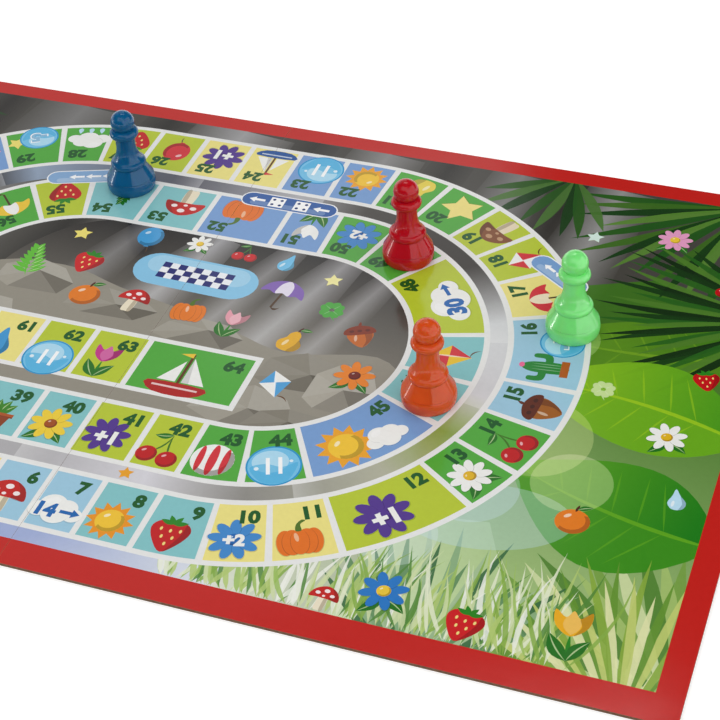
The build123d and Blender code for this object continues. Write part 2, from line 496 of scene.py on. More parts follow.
def broad_leaf(x, y, tip_x, tip_y, width, bow, dark, light):
    veins, steps, fade = 6, 16, ((x, y), (tip_x, tip_y))
    whole = blade(x, y, tip_x, tip_y, width, bow, steps, 0.42)
    rib = blade(x, y, tip_x, tip_y, 0.4, bow, steps)
    lay(whole, dark, 0.95, light, 0.95, *fade)
    lay(whole[:steps + 1] + rib[steps - 1:0:-1], light, 0.42, dark, 0.25, *fade)
    for t in (0.10 + 0.72 * (k + 1) / veins for k in range(veins)):
        bowed = bow * 4 * t * (1 - t)
        cx, cy = x + (tip_x - x) * t - (tip_y - y) * bowed, y + (tip_y - y) * t + (tip_x - x) * bowed
        ahead = round(steps * t) + 2
        for u, v in (whole[min(steps, ahead)], whole[-min(steps - 1, ahead)]):
            lay(blade(cx, cy, cx + 0.86 * (u - cx), cy + 0.86 * (v - cy), 0.7, 0.0, 3), light, 0.55)
    lay(blade(x, y, tip_x, tip_y, 1.5, bow, steps, 0.3), light, 0.85)


def tuft(x, blades, length, wide):
    for _ in range(blades):
        turn = 90 + draw.uniform(-26, 26)
        u, v = ray(turn, length * draw.uniform(0.55, 1.1))
        foot, thick = x + draw.uniform(-6, 6), wide * draw.uniform(0.6, 1.1)
        bow = draw.uniform(-0.1, 0.1)
        grass = blade(foot, edge_front, foot + u, edge_front + v, thick, bow, belly=0.3)
        lay(grass, draw.choice(meadow), 0.85)


for side in (1, -1):
    lawn = (96, edge_front), (edge_right, edge_front), (edge_right, 40), (150, 62), (112, 46)
    lay([(side * u, v) for u, v in lawn],
        "#C4DB9C", 1.0, "#4C8431", 0.75, (110 * side, -105), (150 * side, 40))
    mist = (40, edge_front), (150, edge_front), (128, -60), (96, -64)
    lay([(side * u, v) for u, v in mist],
        "#EEF3E2", 0.95, "#BBD59A", 0.6, (60 * side, -106), (140 * side, -66))
lay(box(-96, edge_front, 62, -84), "#A8B5DC", 1.0, "#E3E7EE", 1.0, (8, -100), (58, -100))
fan(171, 109, 186, 322, 22, 64, 4.0, "#3A6230", "#4C7338", "#2A4C25", "#638C45")
fan(109, 111, 208, 300, 8, 40, 4.2, "#3E6234", "#577C45", "#2E4E29")
fan(190, -112, 98, 172, 13, 64, 5.0, "#7FA653", "#A9C476", "#5E8B45", "#D3DFA9")
fan(122, -120, 42, 138, 19, 54, 3.0, "#6B9468", "#8FB287", "#4C7550", "#A9C49A")
fan(-168, 109, 210, 345, 15, 60, 5.4, "#3F6B33", "#567F3E", "#2F5629", "#6E9A4A")
fan(-190, -112, 10, 84, 12, 60, 5.0, "#7FA653", "#A9C476", "#5E8B45", "#D3DFA9")
broad_leaf(188, 30, 116, 24, 34, 0.05, "#47782B", "#7DA83C")
fan(193, 50, 140, 232, 24, 60, 3.0, "#2C4A25", "#3F6B33", "#5B8440", "#24401F")
broad_leaf(190, -8, 120, 2, 40, -0.06, "#4E9A2F", "#A4CE39")
broad_leaf(190, -52, 126, -34, 44, 0.05, "#2F7D2B", "#6FB03A")
fan(178, -121, 60, 152, 23, 58, 2.6, "#8FB04E", "#C6D27A", "#6E9A45", "#E4E7B0")
broad_leaf(-188, 40, -150, 6, 26, -0.05, "#3F8A2E", "#8CC63F")
broad_leaf(-190, -30, -136, -46, 34, 0.06, "#2F7D2B", "#86BE3C")
broad_leaf(-188, -70, -128, -84, 24, -0.05, "#4E9A2F", "#A4CE39")

# %% Discs of light, grass and border
lay(oval(126, -58, 25, 13, 10, count=40), "#BFDFE6", 0.40)
for x, y, r, tone in ((131, -22, 17, "#E3F0A0"), (119, -48, 14, "#CFE6F2"), (146, -38, 12, "#F3F7C8"),
                      (128, 24, 11, "#D7EBA8"), (104, -72, 12, "#DCECEF"), (-140, -62, 13, "#E3F0A0")):
    lay(oval(x, y, r, count=40), tone, 0.34)
meadow = ("#8DB255", "#B9D07C", "#E9EFD2", "#5F8F4A", "#D5E1AE", "#A3C46A", "#F4F6EC")
for k in range(17):
    tuft(52 + 6.6 * k, 9, 26 + 0.7 * k, 1.7)
    tuft(-100 - 5.2 * k, 5, 18 + 0.6 * k, 2.0)

# The red border is printed over the ends of the plants
end, rim = panel_size.x, panel_size.y
for border in ((-end, -rim, end, edge_front), (-end, edge_back, end, rim),
               (-end, edge_front, edge_left, edge_back), (edge_right, edge_front, end, edge_back)):
    lay(box(*border), red)
print(len(films), "films after the plants")

# %% [markdown]
# Between the laps runs a narrow strip of the same picture, and inside the second lap lies a stony hollow.
# Each boulder is a few flat facets, light on top and dark on the right, as in a cut-paper picture.

# %% Strip between the laps
strip = ((0, "#C8C8CC"), (90, "#B4B2B4"), (130, "#DCDAE0"), (165, "#96948F"), (215, "#B8B8A4"),
         (245, "#93A858"), (268, "#D6D5D8"), (312, "#DCDDDF"), (350, "#4A4744"), (410, "#55524F"),
         (438, "#B4B4B8"), (480, "#63636C"), (545, "#98A8BE"), (565, "#4B4A4C"), (742, "#B5B5B6"))
strip_low, strip_middle, strip_high, gleam = 9.0, 15, 21.5, 11


def lay_strip(s0, s1, *ink):
    lay(stretch(s0, s1, strip_low, strip_high), *ink, spot(s0, strip_middle), spot(s1, strip_middle))


for (s0, near), (s1, far) in zip(strip, strip[1:]):
    lay_strip(s0, s1, near, 1.0, far, 1.0)
for s in (88, 182, 262, 300, 428, 474, 560):
    lay_strip(s, s + gleam, "#F5F5F5", 0.35, "#F5F5F5", 0.0)
print(len(films), "films after the strip")


# %% The hollow
def boulder(x, y, w, h, tone):
    rim = ((-1, -0.6), (-0.8, 0.35), (-0.2, 1), (0.55, 0.75), (1, -0.1), (0.7, -1), (-0.5, -1))
    rim = [(u + draw.uniform(-0.12, 0.12), v + draw.uniform(-0.12, 0.12)) for u, v in rim]
    rim.append((draw.uniform(-0.1, 0.25), draw.uniform(-0.1, 0.3)))
    rim = [(x + w * u, y + h * v) for u, v in rim]
    lay(rim[:7], tone)
    for first, last, light, opacity in ((2, 5, white, 0.10), (4, 6, "#1E1A15", 0.34),
                                        (5, 7, "#1E1A15", 0.20), (0, 2, white, 0.06)):
        lay(rim[first:last] + rim[7:], light, opacity)


hollow = soft((-66, 0), (-58, 28), (-37, 44), (0, 45), (38, 45), (68, 32), (83, 0), (68, -32), (38, -46),
              (-50, -40), fine=8)
lay(hollow, "#373534", 1.0, "#8E897F", 1.0, (8, 46), (8, -16))
for x, half, strength in ((-34, 8, 0.34), (-6, 10, 0.62), (20, 7, 0.42), (40, 9, 0.55), (58, 6, 0.42)):
    shaft(x + 9, 44, x - 8, -10, half * 0.7, half * 1.7, "#E6E6EA", strength)
slope = soft((-70, 6), (-44, 15), (-20, 9), (4, 4), (26, -2), (46, -7), (74, -1), (84, -14), (66, -44),
             (-50, -46))
lay(slope, "#9A9589")
for x, y, w, h, tone in (
        (-50, 8, 15, 8, "#A9A498"), (-20, 1, 17, 7, "#9C978B"), (54, -14, 15, 9, "#8F8A7E"),
        (44, -34, 17, 9, "#A6A195"), (68, -18, 11, 12, "#B1ACA0"), (14, -5, 16, 6, "#A29D91"),
        (58, -38, 13, 7, "#8A8579"), (-60, -14, 12, 9, "#A9A498")):
    boulder(x, y, w, h, tone)
print(len(films), "films after the hollow")

# %% [markdown]
# ## Squares and numbers
#
# The white band and the squares are stretches of the centre line. The numbers are plain bold figures, and
# their heads point to the middle of the board. Blender's own text object draws a figure once, it is turned
# into triangles, and those become films like any other outline.

# %% Squares
tints = {"s": "#A3CDE3", "t": "#8BC8CB", "y": "#F1E58C", "l": "#BDCD45", "g": "#5DAF4C", "p": "#7FA4D6"}
square_tints = "gppyyssttyylggssyllggppyyllggppttyllgsttllggpttlggppttlggpsyyllg"
square_lengths = [17, 17.5, 17, 17.5, 17, 17, 16.5, 18, 19, 17.5, 18.5, 35.5, 16.5, 18, 17.5, 34, 22, 18.5,
                  17, 19, 19, 18.5, 18, 18.5, 18.5, 18, 17, 17, 20.5, 20, 20, 36, 20, 20, 19, 36, 19, 19,
                  18, 18, 19.5, 16.5, 17, 17, 36.5, 17.5, 20, 36.5, 19, 18, 18, 28, 22.5, 22.5, 18.5,
                  20, 20, 23, 21, 21.5, 18.5, 18, 19, 37]
half_square, half_band, rule = 11.1, 13.0, 1.9
starts = [sum(square_lengths[:k]) for k in range(len(square_tints) + 1)]
band_piece, band_overlap, band_end = 38, 0.2, 1.0
for s in range(-1, round(starts[-1]), band_piece):
    first, last = max(s - band_overlap, -band_end), min(s + band_piece, starts[-1] + band_end)
    lay(stretch(first, last, -half_band, half_band), "#EDEDEB")
for k, tint in enumerate(square_tints):
    square = stretch(starts[k] + rule / 2, starts[k + 1] - rule / 2, -half_square, half_square)
    lay(square, tints[tint])
print(len(square_tints), "squares along", round(starts[-1]), "mm")

# %% Figures
figures = {}
boldness = 0.055


def figure(text):
    """The triangles of a bold text, one unit tall and centred, and its width."""
    if text not in figures:
        writing = bpy.data.curves.new("figure", "FONT")
        writing.body, writing.offset, writing.resolution_u = text, boldness, 3
        holder = bpy.data.objects.new("figure", writing)
        scene.collection.objects.link(holder)
        mesh = bpy.data.meshes.new_from_object(holder)
        xs, tall = [v.co.x for v in mesh.vertices], max(v.co.y for v in mesh.vertices)
        middle = (min(xs) + max(xs)) / 2
        corners = [((v.co.x - middle) / tall, v.co.y / tall - 0.5) for v in mesh.vertices]
        faces = [[corners[i] for i in f.vertices] for f in mesh.polygons]
        figures[text] = faces, (max(xs) - min(xs)) / tall
        bpy.data.objects.remove(holder)
        bpy.data.curves.remove(writing)
        bpy.data.meshes.remove(mesh)
    return figures[text]


def write(text, x, y, tilt, tall, tone, opacity=1.0):
    for face in figure(text)[0]:
        lay(moved(face, x, y, tilt, tall), tone, opacity)


def tilt_at(s):
    d = heading(s)
    return math.degrees(math.atan2(d.y, d.x))


print(len(films), "films after the squares")

# %% [markdown]
# ## Small pictures
#
# Each square carries a small picture of the kind that children's games have: fruit, flowers, leaves, toys
# and weather. A picture is drawn about its own middle, one unit to each side, by a function that lays its
# parts from the back to the front. `stamp` gives that function a place on the board, a tilt and a size. A
# dark crescent and a pale window on the left make round things look round.

# %% Stamping a picture
def stamp(x, y, tilt, size):
    def put(outline, tone, opacity=1.0):
        lay(moved(outline, x, y, tilt, size), tone, opacity)
    return put


def on_square(square, along, left):
    """The place and tilt at a share of a square's length, some way left of its middle line."""
    s = starts[square - 1] + along * square_lengths[square - 1]
    return *spot(s, left), tilt_at(s)


def crescent(x, y, rx, ry):
    rim = [ray(a) for a in range(-130, 41, 17)]
    rim += [(0.80 * u - 0.08, 0.80 * v + 0.10) for u, v in reversed(rim)]
    return [(x + rx * u, y + ry * v) for u, v in rim]


def rounded(put, x, y, rx, ry, tone):
    put(oval(x, y, rx, ry), tone)
    put(crescent(x, y, rx, ry), shadow, 0.22)
    put(oval(x - 0.36 * rx, y + 0.40 * ry, 0.24 * rx, 0.13 * ry, 40, 12), white, 0.65)


def sprig(put, x, y, tip_x, tip_y, tone="#3C7A33"):
    put(blade(x, y, tip_x, tip_y, 0.42 * math.hypot(tip_x - x, tip_y - y), 0.06), tone)
    put(blade(x, y, tip_x, tip_y, 0.05, 0.06), "#E6F2C0", 0.7)


# %% Fruit and nuts
def fruit(put, skin):
    rounded(put, 0, -0.15, 0.84, 0.80, skin)
    put(blade(0, 0.5, 0.1, 1.0, 0.16), "#5B3A21")
    sprig(put, 0.06, 0.66, 0.75, 0.95)


def cherries(put, skin):
    put(blade(-0.45, -0.3, 0.25, 0.95, 0.09, -0.12), "#4E7B32")
    put(blade(0.5, -0.45, 0.25, 0.95, 0.09, 0.06), "#4E7B32")
    rounded(put, -0.46, -0.38, 0.46, 0.46, skin)
    rounded(put, 0.48, -0.50, 0.46, 0.46, skin)
    sprig(put, 0.25, 0.9, -0.55, 0.75)


def strawberry(put, skin):
    put(soft(*both((0, -1.0), (0.55, -0.45), (0.82, 0.2), (0.55, 0.62), (0, 0.5))), skin)
    shade = soft((0.1, -0.98), (0.58, -0.42), (0.82, 0.2), (0.56, 0.6), (0.5, 0.1), (0.3, -0.5))
    put(shade, "#3A0508", 0.25)
    for u, v in ((-0.4, 0.2), (0, 0.15), (0.4, 0.2), (-0.25, -0.2), (0.2, -0.2), (0, -0.55)):
        put(oval(u, v, 0.06, 0.10, count=8), "#F7E08A")
    for u, v in (ray(a) for a in (20, 65, 115, 160)):
        put(blade(0, 0.5, 0.62 * u, 0.5 + 0.5 * v, 0.24), "#3F8B35")


def pear(put, skin):
    put(soft(*both((0, 0.62), (0.30, 0.35), (0.36, 0.02), (0.64, -0.38), (0.48, -0.85), (0, -0.98))), skin)
    put(soft((0.1, -0.97), (0.48, -0.85), (0.64, -0.38), (0.36, 0.02), (0.30, -0.4)), "#1B1A0A", 0.22)
    put(oval(-0.22, -0.38, 0.10, 0.26, -14, 12), white, 0.55)
    put(blade(0, 0.55, 0.12, 1.0, 0.14), "#5B3A21")
    sprig(put, 0.05, 0.72, 0.7, 0.85)


def gourd(put, skin):
    for u, w in ((-0.58, 0.40), (0.58, 0.40), (-0.3, 0.44), (0.3, 0.44), (0, 0.40)):
        put(oval(u, -0.18, w, 0.72), "#000000", 0.16)
        put(oval(u, -0.16, w * 0.93, 0.70), skin)
    put(oval(-0.12, 0.1, 0.09, 0.25, 8, 12), white, 0.5)
    put(soft((-0.12, 0.45), (0.12, 0.45), (0.10, 0.8), (0.32, 0.98), (0.16, 1.04), (-0.08, 0.8)), "#5C7A34")


def acorn(put, nut, cup):
    put(soft(*both((0.6, 0.12), (0.5, -0.5), (0, -1.0))), nut)
    put(soft((0.25, 0.1), (0.6, 0.1), (0.5, -0.5), (0.05, -0.98), (0.26, -0.5)), shadow, 0.25)
    put(oval(-0.25, -0.25, 0.08, 0.25, -8, 12), white, 0.5)
    put(soft(*both((0, 0.72), (0.66, 0.5), (0.78, 0.08), (0, 0.0))), cup)
    for u in (-0.4, 0.0, 0.4):
        put(oval(u, 0.3, 0.13, 0.10, count=10), "#000000", 0.22)
    put(blade(0, 0.6, 0.12, 1.0, 0.16), cup)


# %% Flowers and leaves
def daisy(put, petal, heart, petals=9, leafy=True):
    if leafy:
        sprig(put, 0, -0.2, -0.85, -0.95)
        sprig(put, 0, -0.2, 0.85, -0.9)
    for a in (11.459 + 360 * k / petals for k in range(petals)):
        u, v = ray(a)
        put(oval(0.56 * u, 0.08 + 0.56 * v, 0.40, 0.22, a, 14), "#000000", 0.14)
        put(oval(0.55 * u, 0.1 + 0.55 * v, 0.38, 0.20, a, 14), petal)
    rounded(put, 0, 0.1, 0.27, 0.27, heart)


def tulip(put, petal):
    put(blade(0, -1.0, 0, 0.1, 0.14), "#3F8B35")
    sprig(put, 0, -0.95, -0.62, 0.05)
    sprig(put, 0, -0.95, 0.62, -0.1)
    put(soft(*both((0, 1.0), (0.22, 0.72), (0.56, 1.0), (0.5, 0.4), (0, 0.0))), petal)
    put(blade(0, 0.05, 0, 1.0, 0.55), white, 0.22)
    put(soft((0.22, 0.72), (0.56, 1.0), (0.5, 0.4), (0.1, 0.02), (0.3, 0.4)), shadow, 0.2)


def clover(put, tone):
    put(blade(0, 0, 0.35, -1.05, 0.14, -0.1), tone)
    for a in (45, 135, 225, 315):
        u, v = ray(a)
        for side in (0.187, -0.187):
            put(oval(0.48 * u - side * v, 0.05 + 0.48 * v + side * u, 0.36, 0.29, a, 16), tone)
        put(blade(0, 0.05, 0.7 * u, 0.05 + 0.7 * v, 0.08), white, 0.22)


def fern(put, tone):
    put(blade(0, -1.0, 0.1, 1.0, 0.10, 0.08), tone)
    for t in (k / 6 for k in range(7)):
        u, v, w = 0.05 * t, -0.75 + 1.5 * t, 0.72 - 0.5 * t
        put(blade(u, v, u + w, v + 0.42, 0.24), tone)
        put(blade(u, v, u - w, v + 0.42, 0.24), tone)
        put(blade(u, v, u + 0.8 * w, v + 0.34, 0.05), "#DDEFB8", 0.6)


def toadstool(put, cap, stem="#F1E6CC", dots=white):
    put(soft(*both((0.24, 0.1), (0.30, -0.9), (0, -1.0))), stem)
    put(soft((0.06, 0.1), (0.24, 0.1), (0.30, -0.9), (0.1, -0.98)), "#3A2A18", 0.25)
    put(soft(*both((0, 0.95), (0.7, 0.6), (0.95, -0.05), (0.4, -0.02))), cap)
    put(soft((0.3, 0.0), (0.95, -0.05), (0.7, 0.6), (0.25, 0.88), (0.55, 0.4)), shadow, 0.18)
    for u, v, r in ((-0.48, 0.32, 0.16), (0.02, 0.58, 0.18), (0.46, 0.28, 0.15), (-0.05, 0.16, 0.10)):
        put(oval(u, v, r, r * 0.8, count=14), dots, 0.9)


def cactus(put, tone):
    put(pill(0, 0.01, 0, 0.3), tone)
    put(soft(*both((0.3, -0.85), (0.32, 0.5), (0, 0.98))), tone)
    put(soft((0.2, -0.3), (0.8, -0.2), (0.85, 0.45), (0.6, 0.5), (0.55, 0.05), (0.2, 0.0)), tone)
    put(soft((-0.2, -0.1), (-0.8, 0.0), (-0.85, 0.6), (-0.6, 0.62), (-0.55, 0.25), (-0.2, 0.2)), tone)
    for u in (-0.14, 0.04, 0.2):
        put(blade(u, -0.8, u, 0.6, 0.05), white, 0.35)
    put(box(-0.5, -1.0, 0.5, -0.66), "#B5603A")
    put(oval(0.05, 0.95, 0.16, 0.12, count=12), "#F0719C")


# %% Toys and weather
def boat(put, hull, sail, flag):
    put(box(-0.04, -0.5, 0.06, 0.95), "#6B4A2C")
    put([(0.1, 0.78), (0.1, -0.38), (0.85, -0.38)], sail)
    put([(-0.1, 0.6), (-0.1, -0.38), (-0.7, -0.38)], sail)
    put([(0.1, 0.78), (0.1, -0.38), (0.35, -0.38)], "#000000", 0.12)
    put([(0.02, 1.0), (0.02, 0.78), (-0.42, 0.88)], flag)
    put(soft(*both((0.95, -0.48), (0.62, -0.95)), fine=3), hull)
    put(box(-0.75, -0.68, 0.75, -0.60), white, 0.75)


def ball(put, tone, patch):
    rounded(put, 0, 0, 0.95, 0.95, tone)
    put(star(0, 0.02, 0.36, 5, 0.84), patch)
    for a in range(90, 450, 72):
        u, v = ray(a)
        put(oval(0.76 * u, 0.76 * v, 0.13, 0.22, a, 10), patch)
        put(blade(0.3 * u, 0.3 * v, 0.7 * u, 0.7 * v, 0.05), patch)


def beach_ball(put, first, second):
    rounded(put, 0, 0, 0.95, 0.95, first)
    for u, half in ((-0.55, 0.15), (0.0, 0.2), (0.55, 0.15)):
        put(oval(u, 0, half, 0.93 * math.sqrt(1 - u * u), 0, 18), second)
    put(crescent(0, 0, 0.95, 0.95), shadow, 0.16)


def cloud(put, tone, drops=None):
    for u, v, r in ((-0.6, -0.1, 0.38), (-0.2, 0.22, 0.48), (0.3, 0.12, 0.44), (0.66, -0.12, 0.34),
                    (0.05, -0.18, 0.5)):
        put(oval(u, v - 0.05, r, r * 0.9), "#30343A", 0.10)
        put(oval(u, v, r, r * 0.9), tone)
    put(oval(-0.25, 0.36, 0.26, 0.16, 20, 14), white, 0.4)
    for u in (-0.5, 0.0, 0.5) if drops else ():
        put(soft((u, -0.55), (u + 0.12, -0.85), (u, -0.98), (u - 0.12, -0.85)), drops)


def drop(put, tone):
    put(soft(*both((0, 1.0), (0.28, 0.35), (0.62, -0.3), (0.42, -0.85), (0, -1.0))), tone)
    put(soft((0.1, -0.98), (0.42, -0.85), (0.62, -0.3), (0.28, 0.35), (0.36, -0.4)), "#06222E", 0.22)
    put(oval(-0.26, -0.4, 0.11, 0.3, -14, 12), white, 0.65)


def sun(put, tone):
    put(star(0, 0, 1.0, 12, 0.68), tone)
    rounded(put, 0, 0, 0.58, 0.58, "#F6C945")


def balloon(put, tone):
    put(blade(0, -0.45, 0.1, -1.05, 0.06, 0.12), "#6B5A4A")
    put([(-0.14, -0.56), (0.14, -0.56), (0, -0.36)], tone)
    rounded(put, 0, 0.25, 0.66, 0.76, tone)


def kite(put, first, second):
    put(blade(0, -0.6, 0.5, -1.05, 0.07, 0.2), "#6B4A2C")
    put([(0, 1.0), (0.68, 0.25), (0, -0.7), (-0.68, 0.25)], first)
    put([(0, 1.0), (0.68, 0.25), (0, 0.25)], second)
    put([(0, -0.7), (-0.68, 0.25), (0, 0.25)], second)
    put([(0, 1.0), (0.05, 0.25), (0, -0.7), (-0.05, 0.25)], white, 0.7)


def umbrella(put, first, second):
    put(box(-0.05, -0.85, 0.05, 0.6), "#5A4632")
    put(blade(-0.04, -0.82, 0.36, -0.72, 0.12, -0.35), "#5A4632")
    put(soft(*both((0, 0.92), (0.7, 0.62), (0.95, 0.02), (0.6, 0.12), (0.3, 0.0), (0, 0.12))), first)
    put(soft(*both((0, 0.92), (0.28, 0.6), (0.3, 0.03), (0, 0.12))), second)


def pot(put, tone, plant):
    for u, v in (ray(a) for a in (50, 75, 105, 130)):
        sprig(put, 0, -0.1, 0.95 * u, -0.1 + 1.05 * v, plant)
    put([(-0.62, 0.0), (0.62, 0.0), (0.42, -1.0), (-0.42, -1.0)], tone)
    put([(0.2, 0.0), (0.62, 0.0), (0.42, -1.0), (0.14, -1.0)], shadow, 0.22)
    put(box(-0.72, -0.12, 0.72, 0.12), tone)
    put(box(-0.72, -0.12, 0.72, -0.04), shadow, 0.25)


def bright_star(put, tone):
    put(star(0, -0.04, 1.0, 5, 0.52), "#8A7A20", 0.35)
    put(star(0, 0, 0.98, 5, 0.52), tone)


print("picture makers ready")

# %% [markdown]
# ## Pictures on the squares
#
# The list says which picture stands on which square, and where. Most squares have one, and a long square
# has a larger one. A few pictures carry marks that send a pawn on or back: plus and minus figures and
# arrows.

# %% Pictures on the squares
snow, violet, deep_blue = "#F4F4F0", "#5E4694", "#2F6FB5"
picture_scale = 1.14
# Square, share of its length, way left of its middle and half the picture's size in mm, picture, inks
pictures = [
    (1, 0.45, -2.0, 6.8, balloon, "#D8434A"), (2, 0.45, -2.5, 6.8, kite, "#F0C93F", "#D8642F"),
    (3, 0.45, -2.5, 6.8, tulip, "#E79AC0"), (4, 0.45, -2.5, 6.2, clover, "#3E9A3C"),
    (5, 0.4, -3.0, 6.2, drop, "#4E9ED6"), (6, 0.42, -3.2, 6.4, toadstool, "#C8342C"),
    (7, 0.46, -3.6, 7.6, cloud, snow), (8, 0.45, -3.2, 6.6, sun, "#EE9A2A"),
    (9, 0.45, -3.0, 6.4, strawberry, "#C8242C"),
    (10, 0.45, -3.4, 7.4, daisy, "#4E8FD0", deep_blue, 9, False), (11, 0.45, -3.4, 6.2, gourd, "#E8792B"),
    (12, 0.40, -2.4, 8.4, daisy, violet, violet, 9, False), (13, 0.45, -3.0, 6.4, daisy, snow, "#E5B93A"),
    (14, 0.45, -3.0, 6.4, cherries, "#C4202B"), (15, 0.45, -3.0, 6.4, acorn, "#A5672F", "#6A3E1E"),
    (16, 0.26, 0.4, 6.6, cactus, "#3C8B46"), (17, 0.42, -3.0, 6.8, umbrella, "#D8434A", "#F6E6C8"),
    (18, 0.46, -3.0, 6.4, kite, "#D8434A", snow),
    (19, 0.45, -3.0, 6.4, toadstool, "#8A5A40", "#EBDCC0", "#C9A27C"),
    (20, 0.46, -2.8, 6.8, bright_star, "#F4E38C"), (21, 0.42, -3.0, 6.4, pear, "#E9D45A"),
    (22, 0.46, -3.0, 6.8, sun, "#F0A93A"), (24, 0.45, -3.2, 6.8, boat, "#2F5FA0", snow, "#D8434A"),
    (25, 0.46, -3.0, 7.4, daisy, violet, violet, 9, False), (26, 0.45, -2.6, 6.6, balloon, "#D8434A"),
    (27, 0.42, -3.0, 6.0, strawberry, "#C8242C"), (28, 0.45, -2.6, 7.0, cloud, snow, "#BFE3F5"),
    (29, 0.80, -4.5, 3.4, bright_star, "#F2E27A"), (30, 0.45, -3.0, 6.6, daisy, "#E9A3C8", "#F0CB4A"),
    (31, 0.45, -3.0, 6.2, fruit, "#C9D54A"), (32, 0.45, -2.5, 8.0, boat, "#A5482F", snow, "#E8B93F"),
    (33, 0.45, -3.0, 6.8, tulip, "#D8434A"), (34, 0.45, -2.4, 6.8, fern, "#4B8B3B"),
    (35, 0.45, -3.0, 6.8, umbrella, "#3E8ED0", snow), (36, 0.45, -2.5, 8.0, sun, "#F0A93A"),
    (37, 0.45, -3.0, 6.4, ball, snow, "#2B2B2D"), (38, 0.45, -3.0, 6.0, strawberry, "#D2303A"),
    (39, 0.45, -3.2, 6.4, pot, "#B5603A", "#4B8B3B"), (40, 0.44, -3.2, 6.6, daisy, "#F3D34A", "#A85A24"),
    (41, 0.44, -2.8, 7.2, daisy, violet, violet, 9, False), (42, 0.45, -3.2, 6.4, cherries, "#C4202B"),
    (43, 0.45, -3.2, 6.2, beach_ball, snow, "#D8434A"), (45, 0.34, -2.0, 8.2, sun, "#F0A93A"),
    (45, 0.66, -4.4, 6.4, cloud, snow), (46, 0.4, -2.5, 6.0, pear, "#E9D45A"),
    (47, 0.5, -3.0, 6.6, kite, "#D8434A", "#F0C93F"), (48, 0.46, -2.6, 9.4, cloud, snow),
    (49, 0.45, -3.0, 6.2, drop, "#7CC6EC"), (50, 0.48, -3.2, 7.4, daisy, "#4E8FD0", deep_blue, 9, False),
    (51, 0.46, -3.2, 6.8, tulip, snow), (52, 0.58, -3.4, 6.6, gourd, "#E8792B"),
    (53, 0.42, -3.2, 6.8, toadstool, "#C8342C"), (54, 0.42, -3.6, 5.8, fern, "#3C7A33"),
    (55, 0.46, -3.0, 6.2, strawberry, "#C8242C"), (56, 0.46, -3.0, 6.8, umbrella, "#F0CB4A", snow),
    (57, 0.45, -2.6, 6.4, balloon, "#D8434A"), (58, 0.45, -3.0, 6.6, cactus, "#3C8B46"),
    (59, 0.45, -3.0, 6.4, acorn, "#8A5336", "#5B3524"), (60, 0.45, -3.0, 6.2, cherries, "#D8322E"),
    (61, 0.42, -3.2, 6.4, drop, "#4E9ED6"), (63, 0.42, -3.0, 6.8, tulip, "#C9478F"),
    (64, 0.44, -1.4, 9.0, boat, "#B5302C", snow, "#F0CB4A"),
]
for square, along, left, size, picture, *tones in pictures:
    picture(stamp(*on_square(square, along, left), size * picture_scale), *tones)
print(len(pictures), "pictures on the squares,", len(films), "films")

# %% [markdown]
# ## Game marks
#
# Round blue badges mark squares where a player waits, with two bars as on a pause key. Blue pills with an
# arrow mark the short cuts, one pill shows two dice, and the plate in the middle has the chequers of a
# finishing flag.

# %% Game marks
def badge(square, along, left, radius):
    put = stamp(*on_square(square, along, left), radius)
    put(oval(0, 0, 1.0, count=40), "#3D9BD2")
    put(oval(0, 0, 0.93, count=40), "#7CC6EC")
    put(oval(-0.12, 0.22, 0.66, 0.56, count=30), "#C6E8F8", 0.75)
    pool = soft((-0.86, -0.05), (-0.3, 0.12), (0.3, -0.08), (0.86, 0.1), (0.5, -0.75), (0, -0.9),
                (-0.5, -0.75))
    put(pool, "#4FB0E0", 0.55)
    return put


def arrow(put, x, reach, thick, tone=white):
    put(box(x - reach, -thick, x + reach * 0.3, thick), tone)
    put([(x + reach * 0.2, -thick * 2.6), (x + reach, 0), (x + reach * 0.2, thick * 2.6)], tone)


def plaque(s, left, reach, half, tone, tilt=0.0):
    put = stamp(*spot(s, left), tilt_at(s) + tilt, 1.0)
    put(pill(half - reach, reach - half, 0, half), "#F2F4F6")
    put(pill(half - reach, reach - half, 0, half - 0.5), tone)
    put(pill(half - reach + 1, reach - half - 1, half * 0.45, half * 0.3), white, 0.25)
    return put


for square, along, left in ((23, 0.42, -3.6), (44, 0.48, -4.4), (62, 0.46, -6.0)):
    put = badge(square, along, left, 8.4)
    for u in (-0.28, 0.16):
        put(box(u, -0.42, u + 0.14, 0.42), white)
    put(oval(-0.62, -0.1, 0.09, count=10), white, 0.8)
    put(oval(0.62, 0.2, 0.07, count=10), white, 0.8)
for place in ((16, 0.62, -4.2), (29, 0.42, -6.4)):
    badge(*place, 7.2)
    write("-5", *on_square(*place), 6.0, white)
    write("-5", *on_square(*place), 5.2, "#3A8CC4", 0.55)

